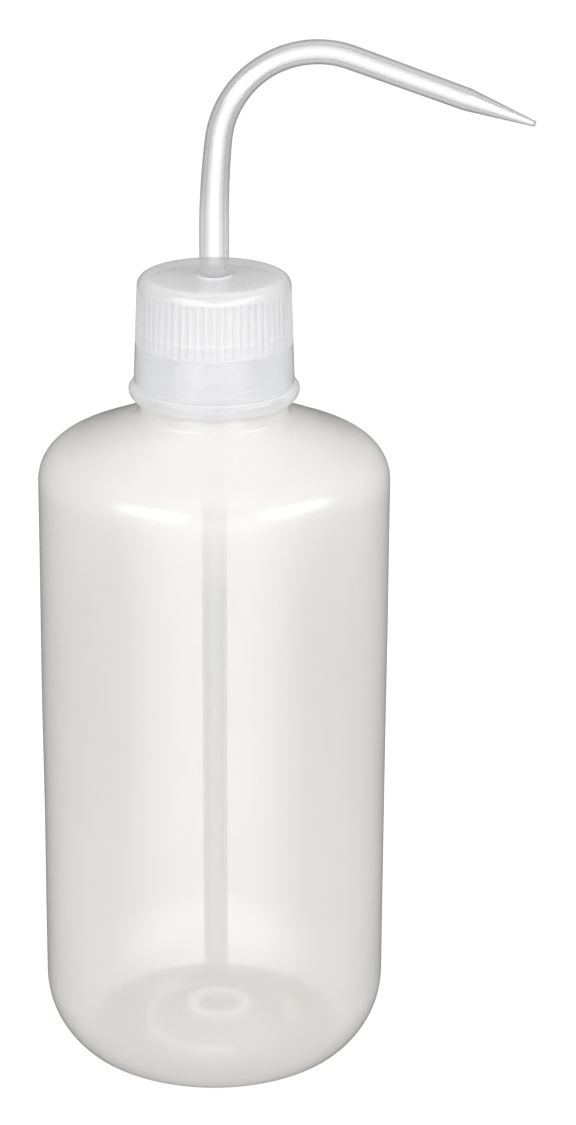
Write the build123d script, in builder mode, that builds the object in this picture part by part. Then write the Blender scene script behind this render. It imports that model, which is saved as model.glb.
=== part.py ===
from build123d import *
from math import cos, radians, sin, tan
import os

# Wash bottle: a squeezable bottle, its screw closure, the liner under the closure, the bent
# dispensing stem that the closure clamps by its flange, and the dip tube pushed into the stem.
# Millimetres. +Z is up, the origin is the centre of the standing ring on the ground, and the
# stem's spout points along +X.

# ---- driving dimensions ----
body_radius = 45.5
closure_top = 212.6
wall = 1.3
running_gap = 0.05

# Bottle's base: a dome pushed up inside a flat standing ring, then two arcs up to the side
standing_width = 2.0
push_up = 5.6
floor_thickness = 1.6
mark_radius = 5.6
mark_depth = 0.4
foot_radius = 8.3
heel_radius = 22.7
heel_turn = 45

# Bottle's shoulder and neck
shoulder_radius = 10.2
shoulder_start = 158.7
shoulder_slope = 22.5
neck_radius = 19.3
neck_bore = 14.6
neck_fillet = 2.0
bead_radius = 21.85
bead_bottom = 178.8
bead_widest = 183.2
bead_top = 184.3
bead_rounding = 1.0
finish_radius = 17.1
rim = closure_top - 4.6
rim_chamfer = 0.5

# Screw thread: six turns to the inch, like other large laboratory closures
pitch = 25.4 / 6
thread_turns = 1.5
thread_height = 1.0
thread_root = 2.2
thread_crest = 1.1
thread_start = 195.5
thread_gap = 0.35
thread_sink = 0.25

# Closure: a slightly conical cap, ribbed on its upper half, with a collar round the stem
closure_bottom = 184.8
closure_bottom_radius = 20.55
closure_top_radius = 19.45
closure_rounding = 2.6
closure_ceiling = closure_top - 2.15
closure_bore = finish_radius + thread_height + thread_gap
lead_in_bore = 19.1
lead_in_depth = 3.0
rib_bottom = 195.7
rib_top = 210.6
rib_count = 60
rib_depth = 0.35
rib_groove = 1.25
collar_radius = 4.6
collar_height = 0.4

# Liner
liner_radius = 17.9
liner_thickness = 1.1

# Stem: a flange on the bottle's rim, a spigot that holds the dip tube, a bent spout, a nozzle
flange_radius = 17.0
flange_thickness = 1.2
spigot_radius = 4.9
spigot_length = 12.0
socket_depth = 10.0
stem_radius = 3.75
stem_wall = 1.15
straight_top = 226.4
lead_in_radius = 200.0
lead_in_turn = 6.0
bend_radius = 24.6
spout_turn = 110.0
spout_length = 30.6
nozzle_length = 18.0
bend_start_radius = 3.4
bend_middle_radius = 3.05
spout_radius = 3.05
nozzle_radius = 2.85
tip_radius = 0.7
tip_bore = 0.35

# Dip tube
dip_radius = 3.175
dip_bore = 2.25
dip_bottom = 14.5

os.makedirs("parts", exist_ok=True)


# ---- bottle ----
heel_height = foot_radius + (heel_radius - foot_radius) * sin(radians(heel_turn))
heel_centre = (body_radius - heel_radius, heel_height)
standing_radius = heel_centre[0] + (heel_radius - foot_radius) * cos(radians(heel_turn))
foot_centre = (standing_radius, foot_radius)
shoulder_centre = (body_radius - shoulder_radius, shoulder_start)
shoulder_turn = 90 - shoulder_slope
standing_inner = standing_radius - standing_width


def side_wall(inset):
    """Draw the side from the standing ring to the top of the shoulder's arc; return its top end."""
    CenterArc(foot_centre, foot_radius - inset, -90, heel_turn)
    CenterArc(heel_centre, heel_radius - inset, -heel_turn, heel_turn)
    Line((body_radius - inset, heel_height), (body_radius - inset, shoulder_start))
    shoulder = CenterArc(shoulder_centre, shoulder_radius - inset, 0, shoulder_turn)
    top = shoulder @ 1
    return (top.X, top.Y)


def cone_height(start, radius):
    """Height of the shoulder's cone at a radius, on the line that rises from its start."""
    return start[1] + (start[0] - radius) * tan(radians(shoulder_slope))


def dome(crown, edge):
    """Draw half of the base's dome, from the axis out to the standing ring."""
    rise = crown - edge
    sphere = (standing_inner**2 + rise**2) / (2 * rise)
    RadiusArc((0, crown), (standing_inner, edge), sphere)


def helix_ridge(root_radius, start, height):
    """A thread's ridge, a trapezoid swept up a helix; a negative height makes an inner thread."""
    sink = -thread_sink if height > 0 else thread_sink
    path = Helix(pitch, pitch * thread_turns, root_radius, center=(0, 0, start))
    with BuildPart() as ridge:
        with BuildSketch(Plane(origin=path @ 0, x_dir=(1, 0, 0), z_dir=path % 0)):
            with BuildLine():
                Polyline(
                    (sink, -thread_root / 2),
                    (height, -thread_crest / 2),
                    (height, thread_crest / 2),
                    (sink, thread_root / 2),
                    close=True,
                )
            make_face()
        sweep(path=path, is_frenet=True)
    return ridge.part


neck_thread = helix_ridge(finish_radius, thread_start, thread_height)

with BuildPart() as bottle:
    with BuildSketch(Plane.XZ):
        with BuildLine():
            # outside, from the axis under the base up to the rim
            dome(push_up, 0)
            Line((standing_inner, 0), (standing_radius, 0))
            outer_cone = side_wall(0)
            cone_meets_neck = cone_height(outer_cone, neck_radius)
            fillet_reach = neck_fillet * tan(radians(shoulder_turn / 2))
            fillet_centre = (neck_radius + neck_fillet, cone_meets_neck + fillet_reach)
            neck_arc = CenterArc(fillet_centre, neck_fillet, 180, shoulder_turn)
            Line(outer_cone, neck_arc @ 1)
            Line((neck_radius, fillet_centre[1]), (neck_radius, bead_bottom))
            bead_middle = (neck_radius + 0.78 * (bead_radius - neck_radius), bead_bottom + 1.95)
            ThreePointArc((neck_radius, bead_bottom), bead_middle, (bead_radius, bead_widest))
            bead_edge = (bead_radius - bead_rounding, bead_top)
            RadiusArc((bead_radius, bead_widest), bead_edge, -1.05 * bead_rounding)
            Line(bead_edge, (finish_radius, bead_top))
            Line((finish_radius, bead_top), (finish_radius, rim - rim_chamfer))
            Line((finish_radius, rim - rim_chamfer), (finish_radius - rim_chamfer, rim))
            # rim, then the inside down to the axis on the floor
            Line((finish_radius - rim_chamfer, rim), (neck_bore, rim))
            inner_cone = side_wall(wall)
            neck_bottom = (neck_bore, cone_height(inner_cone, neck_bore))
            Line((neck_bore, rim), neck_bottom)
            Line(neck_bottom, inner_cone)
            Line((standing_radius, wall), (standing_inner, wall))
            dome(push_up + floor_thickness, wall)
            Line((0, push_up), (0, push_up + floor_thickness))
        make_face()
    revolve(axis=Axis.Z)
    add(neck_thread)
    with BuildSketch(Plane.XY.offset(push_up - 1)):
        Circle(mark_radius)
    extrude(amount=1 + mark_depth, mode=Mode.SUBTRACT)
    with BuildSketch(Plane.XY.offset(push_up + floor_thickness - 1)):
        Circle(mark_radius)
    extrude(amount=1 + mark_depth)
bottle.part.label = "bottle"
export_step(bottle.part, "parts/bottle.step")


# ---- closure ----
closure_height = closure_top - closure_bottom
closure_lean = (closure_bottom_radius - closure_top_radius) / closure_height
rib_radius = closure_bottom_radius - closure_lean * (rib_bottom - closure_bottom)
closure_thread = helix_ridge(closure_bore, thread_start - pitch / 2, -thread_height)

with BuildPart() as groove:
    with BuildSketch(Plane.XY.offset(rib_bottom)):
        with Locations((rib_radius, 0)):
            Rectangle(2 * rib_depth, rib_groove)
    extrude(amount=rib_top - rib_bottom, dir=(-closure_lean, 0, 1))

with BuildPart() as closure:
    with BuildSketch(Plane.XZ):
        Polygon(
            (0, closure_bottom),
            (closure_bottom_radius, closure_bottom),
            (closure_top_radius, closure_top),
            (0, closure_top),
            align=None,
        )
    revolve(axis=Axis.Z)
    fillet(closure.edges().group_by(Axis.Z)[-1], closure_rounding)
    with PolarLocations(0, rib_count):
        add(groove.part, mode=Mode.SUBTRACT)
    with BuildSketch(Plane.XY.offset(closure_top)):
        Circle(collar_radius)
    extrude(amount=collar_height)
    with BuildSketch(Plane.XY.offset(closure_bottom)):
        Circle(closure_bore)
    extrude(amount=closure_ceiling - closure_bottom, mode=Mode.SUBTRACT)
    with BuildSketch(Plane.XY.offset(closure_bottom)):
        Circle(lead_in_bore)
    extrude(amount=lead_in_depth, mode=Mode.SUBTRACT)
    add(closure_thread)
    with BuildSketch(Plane.XY.offset(closure_top + collar_height)):
        Circle(stem_radius + running_gap)
    extrude(amount=-(closure_top + collar_height - closure_ceiling), mode=Mode.SUBTRACT)
closure.part.label = "closure"
export_step(closure.part, "parts/closure.step")


# ---- liner ----
liner_top = closure_ceiling - running_gap
with BuildPart() as liner:
    with BuildSketch(Plane.XY.offset(liner_top - liner_thickness)):
        Circle(liner_radius)
        Circle(stem_radius + running_gap, mode=Mode.SUBTRACT)
    extrude(amount=liner_thickness)
liner.part.label = "liner"
export_step(liner.part, "parts/liner.step")


# ---- dispensing stem ----
flange_bottom = rim + running_gap
flange_top = flange_bottom + flange_thickness
spigot_bottom = flange_bottom - spigot_length
socket_top = spigot_bottom + socket_depth

with BuildLine(Plane.XZ) as straight:
    Line((0, flange_bottom), (0, straight_top))
with BuildLine(Plane.XZ) as lead_in:
    CenterArc((lead_in_radius, straight_top), lead_in_radius, 180, -lead_in_turn)
bend_start = lead_in.line @ 1
bend_centre = (
    bend_start.X + bend_radius * cos(radians(lead_in_turn)),
    bend_start.Z - bend_radius * sin(radians(lead_in_turn)),
)
half_bend = (spout_turn - lead_in_turn) / 2
with BuildLine(Plane.XZ) as first_bend:
    CenterArc(bend_centre, bend_radius, 180 - lead_in_turn, -half_bend)
with BuildLine(Plane.XZ) as second_bend:
    CenterArc(bend_centre, bend_radius, 180 - lead_in_turn - half_bend, -half_bend)
with BuildLine() as spout:
    Line(second_bend.line @ 1, second_bend.line @ 1 + second_bend.line % 1 * spout_length)
with BuildLine() as nozzle:
    Line(spout.line @ 1, spout.line @ 1 + spout.line % 1 * nozzle_length)

# each run of the stem, with its outer radius where it starts and ends
runs = [
    (straight, stem_radius, stem_radius),
    (lead_in, stem_radius, bend_start_radius),
    (first_bend, bend_start_radius, bend_middle_radius),
    (second_bend, bend_middle_radius, spout_radius),
    (spout, spout_radius, nozzle_radius),
]


def tapered_run(path, start_radius, end_radius):
    """A round rod along one line or arc, from one radius to another."""
    with BuildPart() as rod:
        with BuildSketch(Plane(origin=path @ 0, z_dir=path % 0)):
            Circle(start_radius)
        with BuildSketch(Plane(origin=path @ 1, z_dir=path % 1)):
            Circle(end_radius)
        sweep(path=path, multisection=True)
    return rod.part


with BuildPart() as stem:
    with BuildSketch(Plane.XY.offset(flange_bottom)):
        Circle(flange_radius)
    extrude(amount=flange_thickness)
    with BuildSketch(Plane.XY.offset(spigot_bottom)):
        Circle(spigot_radius)
    extrude(amount=spigot_length)
    for path, start_radius, end_radius in runs:
        add(tapered_run(path.line, start_radius, end_radius))
    add(tapered_run(nozzle.line, nozzle_radius, tip_radius))
    for path, start_radius, end_radius in runs:
        bore = tapered_run(path.line, start_radius - stem_wall, end_radius - stem_wall)
        add(bore, mode=Mode.SUBTRACT)
    add(tapered_run(nozzle.line, nozzle_radius - stem_wall, tip_bore), mode=Mode.SUBTRACT)
    with BuildSketch(Plane.XY.offset(socket_top)):
        Circle(stem_radius - stem_wall)
    extrude(amount=flange_bottom - socket_top, mode=Mode.SUBTRACT)
    with BuildSketch(Plane.XY.offset(spigot_bottom)):
        Circle(dip_radius)
    extrude(amount=socket_depth, mode=Mode.SUBTRACT)
stem.part.label = "dispensing_stem"
export_step(stem.part, "parts/dispensing_stem.step")


# ---- dip tube ----
with BuildPart() as dip_tube:
    with BuildSketch(Plane.XY.offset(dip_bottom)):
        Circle(dip_radius)
        Circle(dip_bore, mode=Mode.SUBTRACT)
    extrude(amount=socket_top - dip_bottom)
dip_tube.part.label = "dip_tube"
export_step(dip_tube.part, "parts/dip_tube.step")
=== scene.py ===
import math

import bmesh
import bpy
import numpy as np
from mathutils import Matrix, Vector


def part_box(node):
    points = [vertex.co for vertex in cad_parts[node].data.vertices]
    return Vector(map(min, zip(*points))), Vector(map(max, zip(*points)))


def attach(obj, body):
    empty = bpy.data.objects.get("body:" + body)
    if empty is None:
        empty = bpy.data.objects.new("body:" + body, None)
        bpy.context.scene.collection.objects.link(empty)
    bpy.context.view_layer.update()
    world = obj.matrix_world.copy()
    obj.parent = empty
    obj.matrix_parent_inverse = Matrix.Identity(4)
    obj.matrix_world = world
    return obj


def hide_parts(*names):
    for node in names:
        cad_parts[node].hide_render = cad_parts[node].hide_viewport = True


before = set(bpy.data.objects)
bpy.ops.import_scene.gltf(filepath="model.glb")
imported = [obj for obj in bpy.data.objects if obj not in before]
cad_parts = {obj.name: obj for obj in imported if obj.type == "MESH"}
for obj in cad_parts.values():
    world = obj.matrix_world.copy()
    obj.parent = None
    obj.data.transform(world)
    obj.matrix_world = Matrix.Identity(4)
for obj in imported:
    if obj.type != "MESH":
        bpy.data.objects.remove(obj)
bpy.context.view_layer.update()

# Metres. +Z is up, the spout points along +X, and the camera looks along +Y.
MM = 0.001
TURN = 2 * math.pi

_, bottle_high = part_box("bottle")
closure_low, closure_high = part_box("closure")
liner_low, liner_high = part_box("liner")
stem_low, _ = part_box("dispensing_stem")
dip_low, dip_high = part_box("dip_tube")

# ---------------------------------------------------------------- outlines


def arc(centre, radius, start, turn, steps):
    """Points on a circle in the (radius, height) plane, from start degrees through turn degrees."""
    angles = [math.radians(start + turn * k / steps) for k in range(steps + 1)]
    return [(centre[0] + radius * math.cos(a), centre[1] + radius * math.sin(a)) for a in angles]


def run(start, end, step):
    """Points on a straight line, about step apart, with both ends."""
    length = math.hypot(end[0] - start[0], end[1] - start[1])
    count = max(1, math.ceil(length / step))
    return [
        (start[0] + (end[0] - start[0]) * k / count, start[1] + (end[1] - start[1]) * k / count)
        for k in range(count + 1)
    ]


def joined(*stretches):
    """One outline from several, without the points that they share."""
    points = []
    for stretch in stretches:
        for point in stretch:
            if not points or math.dist(point, points[-1]) > 1e-7:
                points.append(point)
    return points


def ramp(value, low, high):
    """0 below low, 1 above high, and smooth between."""
    t = np.clip((value - low) / (high - low), 0.0, 1.0)
    return t * t * (3 - 2 * t)


def bump(value, centre, width):
    """A smooth hill of height 1."""
    return np.exp(-(((value - centre) / width) ** 2))


def smooth_mesh(name, points, faces):
    """A mesh object with smooth shading, its normals turned outwards."""
    mesh = bpy.data.meshes.new(name)
    mesh.from_pydata(points, [], faces)
    work = bmesh.new()
    work.from_mesh(mesh)
    bmesh.ops.recalc_face_normals(work, faces=work.faces)
    work.to_mesh(mesh)
    work.free()
    mesh.polygons.foreach_set("use_smooth", [True] * len(mesh.polygons))
    piece = bpy.data.objects.new(name, mesh)
    bpy.context.scene.collection.objects.link(piece)
    return piece


def ring_faces(rings, columns, closed):
    """Quads between neighbouring rings of points; a closed stack joins its last ring to its first."""
    faces = []
    for k in range(rings if closed else rings - 1):
        low = k * columns
        high = ((k + 1) % rings) * columns
        for j in range(columns):
            n = (j + 1) % columns
            faces.append((low + j, low + n, high + n, high + j))
    return faces


def lathe(name, outline, angles, shape=None, closed=False):
    """Turns an outline of (radius, height) points about Z. shape(radius, height, angle, row) may change
    the radius and height of any point. An outline that starts and ends on the axis is closed by fans."""
    rows = np.arange(len(outline))[:, None]
    radius = np.array([p[0] for p in outline])[:, None] + 0 * angles[None, :]
    height = np.array([p[1] for p in outline])[:, None] + 0 * angles[None, :]
    around = angles[None, :] + 0 * radius
    if shape:
        radius, height = shape(radius, height, around, rows)
    points = np.stack([radius * np.cos(around), radius * np.sin(around), height], axis=-1)
    columns = len(angles)
    if closed:
        return smooth_mesh(name, points.reshape(-1, 3).tolist(), ring_faces(len(outline), columns, True))
    inner = points[1:-1].reshape(-1, 3).tolist()
    faces = ring_faces(len(outline) - 2, columns, False)
    first = len(inner)
    last = first + 1
    base = (len(outline) - 3) * columns
    for j in range(columns):
        n = (j + 1) % columns
        faces.append((first, n, j))
        faces.append((last, base + j, base + n))
    ends = [tuple(points[0].mean(axis=0)), tuple(points[-1].mean(axis=0))]
    return smooth_mesh(name, inner + ends, faces)


def material(name):
    """An empty node material and its output."""
    made = bpy.data.materials.new(name)
    made.use_nodes = True
    made.node_tree.nodes.clear()
    output = made.node_tree.nodes.new("ShaderNodeOutputMaterial")
    return made, made.node_tree, output


def node(tree, kind, inputs=None, **settings):
    """Adds a shader node; inputs maps a socket's name or number to a value or to another socket."""
    made = tree.nodes.new(kind)
    for key, value in settings.items():
        setattr(made, key, value)
    for key, value in (inputs or {}).items():
        if isinstance(value, bpy.types.NodeSocket):
            tree.links.new(value, made.inputs[key])
        else:
            made.inputs[key].default_value = value
    return made


def noise(tree, scale, detail):
    """Smooth noise in object space, scale in cycles per metre."""
    place = node(tree, "ShaderNodeTexCoord").outputs["Object"]
    inputs = {"Vector": place, "Scale": scale, "Detail": detail}
    return node(tree, "ShaderNodeTexNoise", inputs).outputs["Fac"]


def spread(tree, value, low, high):
    """Maps 0..1 to low..high."""
    return node(tree, "ShaderNodeMapRange", {"Value": value, "To Min": low, "To Max": high}).outputs[0]


def tinted(tree, value, dark, light):
    """A colour between two colours."""
    mix = node(tree, "ShaderNodeMix", {0: value, 6: (*dark, 1), 7: (*light, 1)}, data_type="RGBA")
    return mix.outputs[2]


def at_height(tree):
    """Height in the piece's own space, in metres, which at rest is height above the ground."""
    place = node(tree, "ShaderNodeTexCoord").outputs["Object"]
    return node(tree, "ShaderNodeSeparateXYZ", {0: place}).outputs["Z"]


def eased(tree, value, low, high, first, last):
    """first where value is low, last where it is high, and smooth between."""
    limits = {"Value": value, "From Min": low, "From Max": high, "To Min": first, "To Max": last}
    return node(tree, "ShaderNodeMapRange", limits, interpolation_type="SMOOTHSTEP").outputs[0]


def sums(tree, operation, first, second):
    """One arithmetic node's result."""
    return node(tree, "ShaderNodeMath", {0: first, 1: second}, operation=operation).outputs[0]


def gloss_share(tree):
    """How much of the light a plastic's skin mirrors at each slant: 4% straight on, all at a graze."""
    slant = node(tree, "ShaderNodeLayerWeight", {"Blend": 0.5}).outputs["Facing"]
    steep = node(tree, "ShaderNodeMath", {0: slant, 1: 5.0}, operation="POWER").outputs[0]
    return node(tree, "ShaderNodeMath", {0: steep, 1: 0.96, 2: 0.04}, operation="MULTIPLY_ADD").outputs[0]


CLOUD_SCALE = 60
CLOUD_SHARE = 0.2
SCATTER_ROUGHNESS = 0.6
DENT_STRENGTH = 0.25
DENT_DEPTH = 0.1 * MM
# Heights, in metres, over which the painted warm reflection, a lighter warm colour low on the bottle, fades
# out.
WARM_REFLECTION_BELOW = 0.04
WARM_REFLECTION_ENDS = 0.12


def milky(name, dark, light, clear, haze, roughness, grain, glow, warm_reflection=None, pattern=None, thick=None):
    """Natural polyolefin: part of the light shows through unbent, part glows through the wall from
    behind, the rest scatters, and a satin skin mirrors the room. clear is how much shows through one
    face seen straight on, haze how fast that falls at a slant, glow the share that glows through, and
    warmth a lighter warm colour that comes in towards the bottom, a painted reflection of warm light.
    pattern(tree) gives where the colour is light, and thick(tree) how much of clear is left where the
    wall is thicker."""
    made, tree, output = material(name)
    cloud = noise(tree, CLOUD_SCALE, 3)
    fine = noise(tree, grain, 4)
    if pattern:
        cloud = sums(tree, "ADD", sums(tree, "MULTIPLY", cloud, CLOUD_SHARE), pattern(tree))
    colour = tinted(tree, cloud, dark, light)
    # Painted reflection: towards the bottom the colour turns to a lighter warm tint, standing in for warm
    # light reflected low on the wall.
    if warm_reflection:
        low = eased(tree, at_height(tree), WARM_REFLECTION_BELOW, WARM_REFLECTION_ENDS, 1.0, 0.0)
        mix = node(tree, "ShaderNodeMix", {0: low, 6: colour, 7: (*warm_reflection, 1)}, data_type="RGBA")
        colour = mix.outputs[2]
    dents = {"Height": fine, "Strength": DENT_STRENGTH, "Distance": DENT_DEPTH}
    dent = node(tree, "ShaderNodeBump", dents).outputs[0]
    front = node(
        tree,
        "ShaderNodeBsdfPrincipled",
        {
            "Base Color": colour,
            "Roughness": SCATTER_ROUGHNESS,
            "Normal": dent,
            "Specular IOR Level": 0.0,
        },
    )
    behind = node(tree, "ShaderNodeBsdfTranslucent", {"Color": colour, "Normal": dent})
    body = node(tree, "ShaderNodeMixShader", {0: glow, 1: front.outputs[0], 2: behind.outputs[0]})
    slant = node(tree, "ShaderNodeLayerWeight", {"Blend": haze}).outputs["Facing"]
    through = spread(tree, slant, clear, 0.0)
    if thick:
        through = sums(tree, "MULTIPLY", through, thick(tree))
    window = node(tree, "ShaderNodeBsdfTransparent", {"Color": (1, 1, 1, 1)})
    shown = node(tree, "ShaderNodeMixShader", {0: through, 1: body.outputs[0], 2: window.outputs[0]})
    skin = node(
        tree,
        "ShaderNodeBsdfAnisotropic",
        {
            "Color": (1, 1, 1, 1),
            "Roughness": spread(tree, fine, roughness * 0.85, roughness * 1.15),
            "Normal": dent,
        },
    )
    whole = node(tree, "ShaderNodeMixShader", {0: gloss_share(tree), 1: shown.outputs[0], 2: skin.outputs[0]})
    tree.links.new(whole.outputs[0], output.inputs[0])
    return made


def foam():
    """White closed-cell foam with small pores."""
    made, tree, output = material("liner_foam")
    place = node(tree, "ShaderNodeTexCoord").outputs["Object"]
    pores = node(tree, "ShaderNodeTexVoronoi", {"Vector": place, "Scale": 2500.0}).outputs["Distance"]
    dent = node(tree, "ShaderNodeBump", {"Height": pores, "Strength": 0.5, "Distance": 0.2 * MM})
    surface = node(
        tree,
        "ShaderNodeBsdfPrincipled",
        {
            "Base Color": tinted(tree, pores, (0.84, 0.84, 0.82), (0.93, 0.93, 0.92)),
            "Roughness": spread(tree, pores, 0.6, 0.8),
            "Normal": dent.outputs[0],
        },
    )
    tree.links.new(surface.outputs[0], output.inputs[0])
    return made


def finish_piece(piece, made, body, replaced):
    """Gives a piece its material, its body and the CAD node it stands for."""
    piece.data.materials.append(made)
    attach(piece, body)
    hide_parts(replaced)


# ---------------------------------------------------------------- screw thread

PITCH = 25.4 / 6 * MM
THREAD_TURNS = 1.5
THREAD_HEIGHT = 1.0 * MM
THREAD_ROOT = 2.2 * MM
THREAD_CREST = 1.1 * MM
THREAD_START = bottle_high.z - 12.5 * MM
THREAD_RUNOUT = 0.03


def thread_relief(height, angle, start):
    """Height of the screw ridge over its cylinder at each point, for a right-hand thread."""
    relief = np.zeros_like(height)
    part_turn = (angle / TURN) % 1.0
    for whole in range(3):
        turns = part_turn + whole
        centre = start + PITCH * turns
        flank = (THREAD_ROOT / 2 - np.abs(height - centre)) / ((THREAD_ROOT - THREAD_CREST) / 2)
        ends = np.clip(np.minimum(turns, THREAD_TURNS - turns) / THREAD_RUNOUT, 0, 1)
        relief = np.maximum(relief, np.clip(flank, 0, 1) * ends)
    return relief * THREAD_HEIGHT


# ---------------------------------------------------------------- bottle

BODY_RADIUS = bottle_high.x
RIM = bottle_high.z
WALL = 1.3 * MM
# The outside is set in by SKIN, so that the uneven surface stays inside the CAD box.
SKIN = 0.12 * MM
FOOT_RADIUS = 8.3 * MM
HEEL_RADIUS = 22.7 * MM
HEEL_TURN = 45
HEEL_HEIGHT = FOOT_RADIUS + (HEEL_RADIUS - FOOT_RADIUS) * math.sin(math.radians(HEEL_TURN))
HEEL_CENTRE = (BODY_RADIUS - HEEL_RADIUS, HEEL_HEIGHT)
STANDING = HEEL_CENTRE[0] + (HEEL_RADIUS - FOOT_RADIUS) * math.cos(math.radians(HEEL_TURN))
STANDING_INNER = STANDING - 2.0 * MM
PUSH_UP = 5.6 * MM
FLOOR = 1.6 * MM
SHOULDER_RADIUS = 10.2 * MM
SHOULDER_START = 158.7 * MM
SHOULDER_SLOPE = 22.5
SHOULDER_CENTRE = (BODY_RADIUS - SHOULDER_RADIUS, SHOULDER_START)
NECK_RADIUS = 19.3 * MM
NECK_BORE = 14.6 * MM
NECK_FILLET = 2.0 * MM
BEAD_RADIUS = 21.85 * MM
BEAD_BOTTOM = 178.8 * MM
BEAD_WIDEST = 183.2 * MM
BEAD_TOP = 184.3 * MM
BEAD_ROUNDING = 1.1 * MM
BEAD_UNDER = 3.1 * MM
BEAD_TURN = 62
FINISH_RADIUS = 17.1 * MM
LIP = 0.5 * MM
GATE_OFFSET = 1.4 * MM
PARTING_ANGLES = (math.radians(-134), math.radians(46))
PARTING_HEIGHT = 0.06 * MM
PARTING_WIDTH = 0.16 * MM
MARK_HEIGHT = 0.30 * MM
BASE_TOP = 8.2 * MM
VEIL_BOTTOM = 0.138
VEIL_TOP = 0.170
VEIL_LEFT = 0.58


def side(inset, step):
    """The wall from the standing ring to the top of the shoulder's round, inset from its outside."""
    return joined(
        arc((STANDING, FOOT_RADIUS), FOOT_RADIUS - inset, -90, HEEL_TURN, 12),
        arc(HEEL_CENTRE, HEEL_RADIUS - inset, -HEEL_TURN, HEEL_TURN, 20),
        run((BODY_RADIUS - inset, HEEL_HEIGHT), (BODY_RADIUS - inset, SHOULDER_START), step),
        arc(SHOULDER_CENTRE, SHOULDER_RADIUS - inset, 0, 90 - SHOULDER_SLOPE, 18),
    )


def dome(crown, edge, steps):
    """The pushed-up base, from the axis to the standing ring."""
    rise = crown - edge
    sphere = (STANDING_INNER**2 + rise**2) / (2 * rise)
    reach = math.degrees(math.asin(STANDING_INNER / sphere))
    return arc((0, crown - sphere), sphere, 90, -reach, steps)


def bottle_outline():
    """The outline from the axis under the base round to the axis on the floor, and how many of its
    points are on the outside."""
    slope = math.tan(math.radians(SHOULDER_SLOPE))
    outer_side = side(0, 3.0 * MM)
    cone = outer_side[-1]
    corner = cone[1] + (cone[0] - NECK_RADIUS) * slope
    reach = NECK_FILLET * math.tan(math.radians(90 - SHOULDER_SLOPE) / 2)
    fillet_centre = (NECK_RADIUS + NECK_FILLET, corner + reach)
    neck_arc = arc(fillet_centre, NECK_FILLET, 180, 90 - SHOULDER_SLOPE, 8)[::-1]
    under = arc((BEAD_RADIUS - BEAD_UNDER, BEAD_WIDEST), BEAD_UNDER, -BEAD_TURN, BEAD_TURN, 12)
    over = arc((BEAD_RADIUS - BEAD_ROUNDING, BEAD_WIDEST), BEAD_ROUNDING, 0, 90, 8)
    outer = joined(
        dome(PUSH_UP, 0, 60),
        run((STANDING_INNER, 0), (STANDING, 0), 1.0 * MM),
        outer_side,
        run(cone, neck_arc[0], 1.5 * MM),
        neck_arc,
        run(neck_arc[-1], (NECK_RADIUS, under[0][1]), 0.7 * MM),
        under,
        over,
        run(over[-1], (FINISH_RADIUS, over[-1][1]), 1.0 * MM),
        run((FINISH_RADIUS, over[-1][1]), (FINISH_RADIUS, RIM - LIP), 0.45 * MM),
        arc((FINISH_RADIUS - LIP, RIM - LIP), LIP, 0, 90, 4),
    )
    inner_side = side(WALL, 5.0 * MM)
    inner_cone = inner_side[-1]
    neck_bottom = (NECK_BORE, inner_cone[1] + (inner_cone[0] - NECK_BORE) * slope)
    whole = joined(
        outer,
        run((FINISH_RADIUS - LIP, RIM), (NECK_BORE, RIM), 1.0 * MM),
        run((NECK_BORE, RIM), neck_bottom, 4.0 * MM),
        run(neck_bottom, inner_cone, 3.0 * MM),
        inner_side[::-1],
        run((STANDING, WALL), (STANDING_INNER, WALL), 1.0 * MM),
        dome(PUSH_UP + FLOOR, WALL, 32)[::-1],
    )
    return whole, len(outer)


def floor_relief(x, y):
    """The moulding marks on the base: a sunk gate disc in a raised ring, and a broken swirl round it."""
    from_gate = np.hypot(x - GATE_OFFSET, y)
    from_axis = np.hypot(x, y)
    angle = np.arctan2(y, x)
    disc = -0.35 * MM * (1 - ramp(from_gate, 4.9 * MM, 5.9 * MM))
    ring = 0.45 * MM * bump(from_gate, 7.3 * MM, 1.3 * MM)
    broken = np.clip(np.sin(3 * angle + 0.9) + 0.55 * np.sin(5 * angle + 2.0), 0, 1)
    swirl_radius = (20.5 + 2.0 * np.sin(angle + 2.6)) * MM
    swirl = MARK_HEIGHT * bump(from_axis, swirl_radius, 1.5 * MM) * broken
    wound = (angle - 1.2) % TURN
    arm_radius = (9.0 + 4.2 * wound) * MM
    arm = 0.22 * MM * bump(from_axis, arm_radius, 1.2 * MM) * ramp(wound, 0.1, 0.7)
    return disc + ring + swirl + arm * (1 - ramp(wound, 2.2, 3.4))


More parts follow.
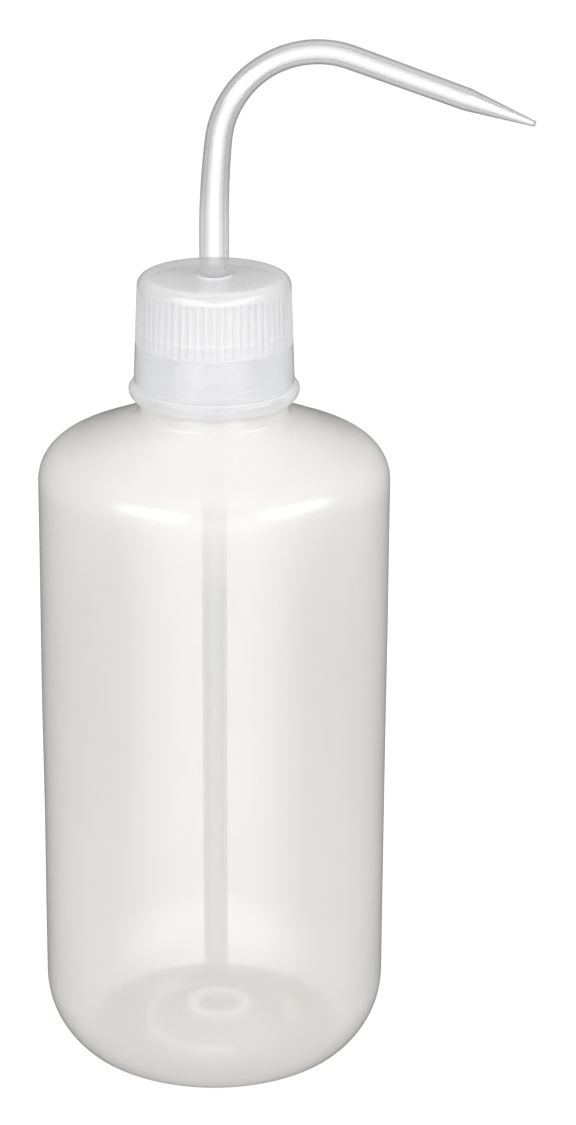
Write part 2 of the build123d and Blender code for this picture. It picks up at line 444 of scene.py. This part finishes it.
def bottle_shape(outside_rows):
    """The bottle's departures from a plain turned shape: thread, parting line, uneven blown wall."""

    def shape(radius, height, angle, row):
        outside = row < outside_rows
        above_foot = ramp(height, 3 * MM, 22 * MM)
        near_neck = ramp(height, BEAD_BOTTOM - 12 * MM, BEAD_BOTTOM - 4 * MM)
        blown = above_foot * (1 - near_neck)
        wave = np.sin(2 * angle + 1.3) * np.sin(height * TURN / 0.092 + 0.4)
        wave = wave + 0.7 * np.sin(3 * angle + 0.4 + height * TURN / 0.150)
        wave = wave + 0.5 * np.sin(5 * angle + 2.1 - height * TURN / 0.060)
        uneven = np.where(outside, 0.045, 0.06) * MM * wave
        radius = radius + blown * (uneven - np.where(outside, SKIN, 0))
        on_body = outside & (height > 1.0 * MM) & (height < BEAD_WIDEST)
        for line in PARTING_ANGLES:
            across = np.angle(np.exp(1j * (angle - line))) * radius
            radius = radius + np.where(on_body, PARTING_HEIGHT * bump(across, 0, PARTING_WIDTH), 0)
        on_finish = outside & (height > BEAD_TOP + 3 * MM)
        radius = radius + np.where(on_finish, thread_relief(height, angle, THREAD_START), 0)
        relief = floor_relief(radius * np.cos(angle), radius * np.sin(angle))
        relief = relief * (1 - ramp(radius, STANDING_INNER - 6 * MM, STANDING_INNER))
        height = height + np.where(height < 12 * MM, relief, 0)
        return radius, height

    return shape


def column_angles(count, marks=()):
    """Even angles round a turn, with a few close together at each mark."""
    gap = TURN / count
    angles = [gap * k for k in range(count)]
    for mark in marks:
        angles = [a for a in angles if abs(math.remainder(a - mark, TURN)) > 0.6 * gap]
        angles += [(mark + gap * share) % TURN for share in (-0.45, -0.25, -0.12, 0, 0.12, 0.25, 0.45)]
    return np.array(sorted(angles))


def build_bottle():
    outline, outside_rows = bottle_outline()
    shell = lathe("bottle_shell", outline, column_angles(220, PARTING_ANGLES), bottle_shape(outside_rows))
    marks = shell.data.attributes.new("mark", "FLOAT", "POINT")
    places = np.zeros(len(shell.data.vertices) * 3)
    shell.data.vertices.foreach_get("co", places)
    x, y, _ = places.reshape(-1, 3).T
    marks.data.foreach_set("value", np.clip(floor_relief(x, y) / MARK_HEIGHT, 0, 1))

    # Painted highlight: the base is coloured light where its moulding marks stand up, standing in for the
    # light the relief catches.
    def mark_highlights(tree):
        return node(tree, "ShaderNodeAttribute", attribute_name="mark").outputs["Fac"]

    def shoulder(tree):
        return eased(tree, at_height(tree), VEIL_BOTTOM, VEIL_TOP, 1.0, VEIL_LEFT)

    # The third colour is the lighter warm tint of the painted reflection near the bottom of the bottle.
    pale, paler, warm = (0.88, 0.876, 0.868), (0.92, 0.916, 0.908), (0.95, 0.930, 0.912)
    ldpe = milky("bottle_ldpe", pale, paler, 0.86, 0.66, 0.24, 2200, 0.5, warm, thick=shoulder)
    finish_piece(shell, ldpe, "bottle_body", "bottle")
    # The base is a darker grey, and its second colour is the painted highlight on the moulding marks.
    floor, mark = (0.66, 0.66, 0.655), (1.0, 0.975, 0.955)
    base = milky("bottle_base", floor, mark, 0.45, 0.50, 0.25, 1200, 0.4, pattern=mark_highlights)
    shell.data.materials.append(base)
    neck, necker = (0.94, 0.94, 0.945), (0.97, 0.97, 0.97)
    shell.data.materials.append(milky("bottle_neck", neck, necker, 0.6, 0.50, 0.13, 1500, 0.6))
    for face in shell.data.polygons:
        middle = face.center
        if math.hypot(middle.x, middle.y) < STANDING and middle.z < BASE_TOP:
            face.material_index = 1
        elif middle.z > BEAD_BOTTOM:
            face.material_index = 2


# ---------------------------------------------------------------- closure

CLOSURE_BOTTOM = closure_low.z
CLOSURE_BOTTOM_RADIUS = closure_high.x
COLLAR_HEIGHT = 0.4 * MM
COLLAR_RADIUS = 4.6 * MM
CLOSURE_TOP = closure_high.z - COLLAR_HEIGHT
CLOSURE_TOP_RADIUS = 19.45 * MM
CLOSURE_ROUNDING = 2.6 * MM
CLOSURE_CEILING = liner_high.z + 0.05 * MM
CLOSURE_BORE = 18.45 * MM
LEAD_IN_BORE = 19.1 * MM
RIB_BOTTOM = CLOSURE_BOTTOM + 10.9 * MM
RIB_TOP = CLOSURE_BOTTOM + 25.6 * MM
RIB_COUNT = 60
RIB_DEPTH = 0.34 * MM
RIB_FADE = 1.5 * MM
RIB_COLUMNS = (0.0, 0.19, 0.265, 0.34, 0.66, 0.735, 0.81)
SEAM_HEIGHT = CLOSURE_BOTTOM + 14.4 * MM
STEM_RADIUS = 3.75 * MM
HOLE_RADIUS = STEM_RADIUS + 0.05 * MM


def closure_outline():
    """The closure's closed outline, and how many of its points are on the outside."""
    taper = (CLOSURE_BOTTOM_RADIUS - CLOSURE_TOP_RADIUS) / (CLOSURE_TOP - CLOSURE_BOTTOM)
    lean = math.degrees(math.atan(taper))
    centre = (CLOSURE_TOP_RADIUS - CLOSURE_ROUNDING * 0.96, CLOSURE_TOP - CLOSURE_ROUNDING)
    rounding = arc(centre, CLOSURE_ROUNDING, lean, 90 - lean, 14)
    edge = 0.25 * MM
    skirt = (CLOSURE_BOTTOM_RADIUS - edge * 0.1, CLOSURE_BOTTOM + edge)
    side_lean = (rounding[0][0] - skirt[0]) / (rounding[0][1] - skirt[1])

    def on_side(height):
        return (skirt[0] + side_lean * (height - skirt[1]), height)

    seam = SEAM_HEIGHT
    collar_top = CLOSURE_TOP + COLLAR_HEIGHT
    outer = joined(
        [(CLOSURE_BOTTOM_RADIUS - edge, CLOSURE_BOTTOM)],
        run(skirt, on_side(RIB_BOTTOM - 0.2 * MM), 2.0 * MM),
        run(on_side(RIB_BOTTOM - 0.2 * MM), on_side(RIB_BOTTOM + 0.4 * MM), 0.1 * MM),
        run(on_side(RIB_BOTTOM + 0.4 * MM), on_side(seam - 0.6 * MM), 1.0 * MM),
        run(on_side(seam - 0.6 * MM), on_side(seam + 0.6 * MM), 0.12 * MM),
        run(on_side(seam + 0.6 * MM), rounding[0], 1.2 * MM),
        rounding,
        run(rounding[-1], (COLLAR_RADIUS + 0.3 * MM, CLOSURE_TOP), 2.0 * MM),
        [(COLLAR_RADIUS + 0.05 * MM, CLOSURE_TOP + 0.06 * MM)],
        arc((COLLAR_RADIUS - 0.2 * MM, collar_top - 0.2 * MM), 0.2 * MM, 0, 90, 5),
        [(HOLE_RADIUS + 0.15 * MM, collar_top), (HOLE_RADIUS, collar_top - 0.15 * MM)],
    )
    lead_in_top = CLOSURE_BOTTOM + 3.0 * MM
    inner = joined(
        run((HOLE_RADIUS, CLOSURE_TOP), (HOLE_RADIUS, CLOSURE_CEILING), 2.0 * MM),
        run((HOLE_RADIUS, CLOSURE_CEILING), (CLOSURE_BORE, CLOSURE_CEILING), 3.0 * MM),
        run((CLOSURE_BORE, CLOSURE_CEILING), (CLOSURE_BORE, lead_in_top), 0.45 * MM),
        run((LEAD_IN_BORE, lead_in_top), (LEAD_IN_BORE, CLOSURE_BOTTOM), 3.0 * MM),
    )
    return joined(outer, inner), len(outer)


def closure_shape(outside_rows):
    """The closure's departures from a plain turned shape: ribs, moulding seam, inner thread."""

    def shape(radius, height, angle, row):
        outside = row < outside_rows
        phase = (angle / TURN * RIB_COUNT) % 1.0
        across = np.abs(phase - 0.5)
        valley = 1 - ramp(across, 0.16, 0.34) + 0.12 * (1 - ramp(across, 0.30, 0.5))
        fading = ramp(height, RIB_TOP - RIB_FADE, RIB_TOP)
        zone = ramp(height, RIB_BOTTOM, RIB_BOTTOM + 0.2 * MM) * (1 - fading)
        radius = radius - np.where(outside, RIB_DEPTH * np.clip(valley, 0, 1) * zone, 0)
        seam = 0.16 * MM * bump(height, SEAM_HEIGHT, 0.28 * MM)
        radius = radius + np.where(outside & (radius > CLOSURE_BORE), seam, 0)
        inside = ~outside & (height < CLOSURE_CEILING - 1 * MM) & (height > CLOSURE_BOTTOM + 4 * MM)
        relief = thread_relief(height, angle, THREAD_START - PITCH / 2)
        radius = radius - np.where(inside, relief, 0)
        return radius, height

    return shape


def build_closure():
    outline, outside_rows = closure_outline()
    columns = [(rib + share) / RIB_COUNT * TURN for rib in range(RIB_COUNT) for share in RIB_COLUMNS]
    cap = lathe("closure_cap", outline, np.array(columns), closure_shape(outside_rows), closed=True)

    def ribs_and_painted_shade(tree):
        """Light on the rib crests and the plain wall; the grooves darker, partly for their thinner wall and
        partly as painted shade; a painted highlight along the seam; and painted shade on the top's rounded
        corner.
        """
        place = node(tree, "ShaderNodeTexCoord").outputs["Object"]
        across = node(tree, "ShaderNodeSeparateXYZ", {0: place}).outputs
        turn = sums(tree, "ARCTAN2", across["Y"], across["X"])
        wave = sums(tree, "COSINE", sums(tree, "MULTIPLY", turn, float(RIB_COUNT)), 0.0)
        crest = sums(tree, "POWER", sums(tree, "MULTIPLY", sums(tree, "ADD", wave, 1.0), 0.5), 3.0)
        start = eased(tree, across["Z"], RIB_BOTTOM, RIB_BOTTOM + 0.3 * MM, 0.0, 1.0)
        end = eased(tree, across["Z"], RIB_TOP - RIB_FADE, RIB_TOP, 1.0, 0.0)
        zone = sums(tree, "MULTIPLY", start, end)
        # Painted highlight: a lighter line along the moulding seam.
        from_seam = sums(tree, "ABSOLUTE", sums(tree, "SUBTRACT", across["Z"], SEAM_HEIGHT), 0.0)
        seam = eased(tree, from_seam, 0.1 * MM, 0.4 * MM, 0.25, 0.0)
        # Painted shade: the colour darkens on the top's rounded corner, where the rounding catches more
        # light.
        rounding = sums(tree, "SUBTRACT", across["Z"], CLOSURE_TOP - 1.3 * MM)
        corner = eased(tree, sums(tree, "ABSOLUTE", rounding, 0.0), 0.2 * MM, 1.8 * MM, 0.6, 0.0)
        # The grooves are darker than the crests, partly for the thinner wall there and partly as painted
        # shade in the grooves.
        ribs = sums(tree, "ADD", sums(tree, "MULTIPLY", crest, 0.40), 0.55)
        lines = sums(tree, "ADD", sums(tree, "MULTIPLY", ribs, zone), seam)
        plain = sums(tree, "MULTIPLY", sums(tree, "SUBTRACT", 1.0, zone), 0.95)
        return sums(tree, "SUBTRACT", sums(tree, "ADD", lines, plain), corner)

    # groove is the dark end, used for the painted shade in the grooves and on the top's rounded corner.
    groove, crest = (0.70, 0.703, 0.718), (0.995, 0.995, 1.0)
    pp = milky("closure_pp", groove, crest, 0.55, 0.45, 0.20, 3000, 0.5, pattern=ribs_and_painted_shade)
    finish_piece(cap, pp, "closure_body", "closure")
    skirt, skirter = (0.90, 0.905, 0.925), (0.94, 0.945, 0.96)
    cap.data.materials.append(milky("closure_skirt", skirt, skirter, 0.84, 0.55, 0.14, 1800, 0.5))
    for face in cap.data.polygons:
        if face.center.z < RIB_BOTTOM:
            face.material_index = 1


# ---------------------------------------------------------------- liner


def build_liner():
    top, bottom = liner_high.z, liner_low.z
    edge = 0.15 * MM
    rim = liner_high.x
    outline = joined(
        run((HOLE_RADIUS, bottom), (rim - edge, bottom), 3.0 * MM),
        [(rim, bottom + edge), (rim, top - edge)],
        run((rim - edge, top), (HOLE_RADIUS, top), 3.0 * MM),
    )
    disc = lathe("liner_disc", outline, column_angles(96), closed=True)
    finish_piece(disc, foam(), "liner_body", "liner")


# ---------------------------------------------------------------- stem

STEM_WALL = 1.15 * MM
FLANGE_RADIUS = 17.0 * MM
FLANGE_BOTTOM = RIM + 0.05 * MM
FLANGE_TOP = FLANGE_BOTTOM + 1.2 * MM
SPIGOT_RADIUS = 4.9 * MM
SPIGOT_BOTTOM = stem_low.z
SOCKET_TOP = dip_high.z
STRAIGHT_TOP = 226.4 * MM
LEAD_IN_RADIUS = 200.0 * MM
LEAD_IN_TURN = math.radians(6)
BEND_RADIUS = 24.6 * MM
SPOUT_TURN = math.radians(110)
BEND_MIDDLE = (LEAD_IN_TURN + SPOUT_TURN) / 2
SPOUT_LENGTH = 30.6 * MM
NOZZLE_LENGTH = 18.0 * MM
BEND_START_RADIUS = 3.4 * MM
SPOUT_RADIUS = 3.05 * MM
NOZZLE_RADIUS = 2.85 * MM
TIP_RADIUS = 0.7 * MM
TIP_BORE = 0.35 * MM
DIP_RADIUS = dip_high.x
DIP_BORE = 2.25 * MM
DIP_BOW = 0.5 * MM
DIP_SLACK = 0.03 * MM


def stem_run():
    """Places down the middle of the stem above its flange: (x, z, heading from upright, outer radius,
    bore radius)."""
    places = [(0.0, z, 0.0, STEM_RADIUS) for z in np.linspace(FLANGE_TOP, STRAIGHT_TOP, 12, endpoint=False)]
    for share in np.linspace(0, 1, 16, endpoint=False):
        turn = LEAD_IN_TURN * share
        radius = STEM_RADIUS + (BEND_START_RADIUS - STEM_RADIUS) * share
        across = LEAD_IN_RADIUS * (1 - math.cos(turn))
        places.append((across, STRAIGHT_TOP + LEAD_IN_RADIUS * math.sin(turn), turn, radius))
    x0 = LEAD_IN_RADIUS * (1 - math.cos(LEAD_IN_TURN))
    z0 = STRAIGHT_TOP + LEAD_IN_RADIUS * math.sin(LEAD_IN_TURN)
    for turn in np.linspace(LEAD_IN_TURN, SPOUT_TURN, 61):
        radius = np.interp(turn, (LEAD_IN_TURN, BEND_MIDDLE), (BEND_START_RADIUS, SPOUT_RADIUS))
        across = x0 + BEND_RADIUS * (math.cos(LEAD_IN_TURN) - math.cos(turn))
        places.append((across, z0 + BEND_RADIUS * (math.sin(turn) - math.sin(LEAD_IN_TURN)), turn, radius))
    x1, z1, heading, _ = places[-1]
    end = SPOUT_LENGTH + NOZZLE_LENGTH
    spout_steps = np.arange(1.5 * MM, SPOUT_LENGTH, 1.5 * MM)
    nozzle_steps = np.linspace(SPOUT_LENGTH, end, 20)
    for reach in (*spout_steps, *nozzle_steps):
        radius = np.interp(reach, (0, SPOUT_LENGTH, end), (SPOUT_RADIUS, NOZZLE_RADIUS, TIP_RADIUS))
        places.append((x1 + reach * math.sin(heading), z1 + reach * math.cos(heading), heading, radius))
    bores = []
    for k, (x, z, turn, radius) in enumerate(places):
        narrowing = k - (len(places) - len(nozzle_steps))
        bore = radius - STEM_WALL
        if narrowing >= 0:
            share = narrowing / (len(nozzle_steps) - 1)
            bore = (NOZZLE_RADIUS - STEM_WALL) * (1 - share) + TIP_BORE * share
        bores.append((x, z, turn, bore))
    return places, bores


def upright(outline):
    """Places on the axis from an outline of (radius, height) points."""
    return [(0.0, height, 0.0, radius) for radius, height in outline]


def build_stem():
    places, bores = stem_run()
    round_edge = 0.15 * MM
    low = upright(
        joined(
            run((DIP_RADIUS, SOCKET_TOP), (DIP_RADIUS, SPIGOT_BOTTOM), 3.0 * MM),
            [(SPIGOT_RADIUS - 0.3 * MM, SPIGOT_BOTTOM), (SPIGOT_RADIUS, SPIGOT_BOTTOM + 0.3 * MM)],
            run((SPIGOT_RADIUS, SPIGOT_BOTTOM + 0.3 * MM), (SPIGOT_RADIUS, FLANGE_BOTTOM), 3.0 * MM),
            run((SPIGOT_RADIUS, FLANGE_BOTTOM), (FLANGE_RADIUS - round_edge, FLANGE_BOTTOM), 3.0 * MM),
            [(FLANGE_RADIUS, FLANGE_BOTTOM + round_edge), (FLANGE_RADIUS, FLANGE_TOP - round_edge)],
            run((FLANGE_RADIUS - round_edge, FLANGE_TOP), (STEM_RADIUS, FLANGE_TOP), 3.0 * MM),
        )
    )
    tip = places[-1]
    blunt = (tip[0], tip[1], tip[2], tip[3] - 0.12 * MM)
    rows = low + places[1:-1] + [tip, blunt] + bores[::-1] + upright([(STEM_RADIUS - STEM_WALL, SOCKET_TOP)])
    around = np.linspace(0, TURN, 48, endpoint=False)
    points = []
    for x, z, turn, radius in rows:
        for a in around:
            out = radius * math.cos(a)
            points.append((x + out * math.cos(turn), radius * math.sin(a), z - out * math.sin(turn)))
    stem = smooth_mesh("stem_tube", points, ring_faces(len(rows), len(around), True))

    # Painted shade: the skin is coloured darker from the start of the bend up, standing in for the darker
    # look the bend and spout get from their surroundings; the real stem is one material.
    def below_bend(tree):
        low, high = STRAIGHT_TOP - 4.0 * MM, STRAIGHT_TOP + 14.0 * MM
        return eased(tree, at_height(tree), low, high, 1.0, 0.0)

    # bend_painted_shade is the painted shade colour on the bend and spout; low_skin is the straight part's
    # own colour.
    bend_painted_shade, low_skin = (0.46, 0.46, 0.475), (0.74, 0.74, 0.755)
    skin = milky("stem_skin", bend_painted_shade, low_skin, 0.98, 0.58, 0.10, 1500, 0.75, pattern=below_bend)
    finish_piece(stem, skin, "stem_body", "dispensing_stem")
    bore, borer = (0.86, 0.86, 0.87), (0.90, 0.90, 0.91)
    stem.data.materials.append(milky("stem_bore", bore, borer, 0.985, 0.15, 0.12, 1500, 0.6))
    first_bore = len(low) + len(places)
    for face in stem.data.polygons:
        if min(face.vertices) >= first_bore * len(around) or face.center.z < FLANGE_TOP:
            face.material_index = 1


def build_dip_tube():
    """The dip tube, with the slight bow that tube from a coil keeps."""
    low, high = dip_low.z, dip_high.z
    edge = 0.1 * MM
    outer = DIP_RADIUS - DIP_SLACK
    outline = joined(
        [(DIP_BORE + edge, low), (outer - edge, low), (outer, low + edge)],
        run((outer, low + edge), (outer, high), 4.0 * MM),
        run((DIP_BORE, high), (DIP_BORE, low + edge), 4.0 * MM),
    )
    tube = lathe("dip_tube_run", outline, column_angles(48), closed=True)
    for point in tube.data.vertices:
        hang = max(0.0, (SPIGOT_BOTTOM - point.co.z) / (SPIGOT_BOTTOM - low))
        point.co.x += DIP_BOW * hang**1.6
    tubing = milky("dip_tube_pe", (0.74, 0.745, 0.75), (0.78, 0.785, 0.79), 0.80, 0.08, 0.5, 1500, 0.5)
    finish_piece(tube, tubing, "stem_body", "dip_tube")


build_bottle()
build_closure()
build_liner()
build_stem()
build_dip_tube()

# ---------------------------------------------------------------- studio


def floor_material():
    """Pale matt paper with a faint tooth, bright enough to read as a white sweep."""
    made, tree, output = material("floor_paper")
    tooth = noise(tree, 900, 2)
    surface = node(
        tree,
        "ShaderNodeBsdfPrincipled",
        {
            "Base Color": tinted(tree, tooth, (0.30, 0.30, 0.30), (0.32, 0.32, 0.32)),
            "Roughness": spread(tree, tooth, 0.85, 0.95),
            "Emission Color": (1, 1, 1, 1),
            "Emission Strength": 0.80,
        },
    )
    tree.links.new(surface.outputs[0], output.inputs[0])
    return made


FLOOR_REACH = 8.0
FLOOR_DROP = 0.1 * MM


def build_floor():
    size = FLOOR_REACH
    corners = [(-size, -size, 0), (size, -size, 0), (size, size, 0), (-size, size, 0)]
    mesh = bpy.data.meshes.new("floor")
    mesh.from_pydata(corners, [], [(0, 1, 2, 3)])
    floor = bpy.data.objects.new("floor", mesh)
    bpy.context.scene.collection.objects.link(floor)
    mesh.materials.append(floor_material())
    floor.location.z = -FLOOR_DROP
    floor.visible_diffuse = False
    floor.visible_glossy = False


def build_world():
    """A dim room that brightens overhead and behind the camera; the camera itself sees white."""
    world = bpy.data.worlds.new("studio")
    bpy.context.scene.world = world
    world.use_nodes = True
    tree = world.node_tree
    tree.nodes.clear()
    place = node(tree, "ShaderNodeTexCoord").outputs["Generated"]
    way = node(tree, "ShaderNodeSeparateXYZ", {0: place})
    ahead = eased(tree, way.outputs["Y"], -0.9, -0.30, 2.0, 0.0)
    below_boxes = eased(tree, way.outputs["Z"], 0.30, 0.60, 1.0, 0.25)
    wall = sums(tree, "MULTIPLY", ahead, below_boxes)
    overhead = eased(tree, way.outputs["Z"], 0.6, 0.95, 0.0, 0.7)
    room = sums(tree, "ADD", sums(tree, "ADD", wall, overhead), 0.16)
    seen = node(tree, "ShaderNodeLightPath").outputs["Is Camera Ray"]
    level = node(tree, "ShaderNodeMix", {0: seen, 2: room, 3: 1.0})
    glow = node(tree, "ShaderNodeBackground", {"Color": (1, 1, 1, 1), "Strength": level.outputs[0]})
    output = node(tree, "ShaderNodeOutputWorld")
    tree.links.new(glow.outputs[0], output.inputs[0])


SOFTBOX_AIM = 0.11
SOFTBOX_DISTANCE = 1.2
SOFTBOX_WIDTH = 0.92
SOFTBOX_HEIGHT = 0.47
SOFTBOX_ELEVATION = 34


def softbox(name, azimuth, radiance):
    """A rectangular area light that faces the bottle; azimuth is from the camera's side, right positive."""
    width, height = SOFTBOX_WIDTH, SOFTBOX_HEIGHT
    lamp = bpy.data.lights.new(name, "AREA")
    lamp.shape = "RECTANGLE"
    lamp.size = width
    lamp.size_y = height
    lamp.energy = radiance * math.pi * width * height
    lamp.color = (1.0, 1.0, 1.0)
    made = bpy.data.objects.new(name, lamp)
    aim = Vector((0, 0, SOFTBOX_AIM))
    turn, lift = math.radians(azimuth), math.radians(SOFTBOX_ELEVATION)
    way = Vector((math.sin(turn) * math.cos(lift), -math.cos(turn) * math.cos(lift), math.sin(lift)))
    made.location = aim + way * SOFTBOX_DISTANCE
    made.rotation_euler = way.to_track_quat("Z", "Y").to_euler()
    made.visible_camera = False
    bpy.context.scene.collection.objects.link(made)


CAMERA_PLACE = (0, -0.7965, 0.4322)
CAMERA_PITCH = 90 - 20.446
CAMERA_ROLL = -0.0003
LENS = 104.49
SENSOR = 36
SHIFT = 0.0656


def build_camera():
    lens = bpy.data.cameras.new("camera")
    lens.sensor_fit = "VERTICAL"
    lens.sensor_height = SENSOR
    lens.lens = LENS
    lens.shift_x = SHIFT
    lens.clip_start = 0.01
    viewer = bpy.data.objects.new("camera", lens)
    pitch = Matrix.Rotation(math.radians(CAMERA_PITCH), 4, "X")
    roll = Matrix.Rotation(CAMERA_ROLL, 4, "Z")
    viewer.matrix_world = Matrix.Translation(CAMERA_PLACE) @ pitch @ roll
    bpy.context.scene.collection.objects.link(viewer)
    bpy.context.scene.camera = viewer


build_floor()
build_world()
softbox("softbox_left", -46, 4.8)
softbox("softbox_right", 60, 5.2)
build_camera()
bpy.context.scene.view_settings.view_transform = "Standard"
bpy.context.scene.cycles.transparent_max_bounces = 32
bpy.context.scene.cycles.denoising_input_passes = "RGB"
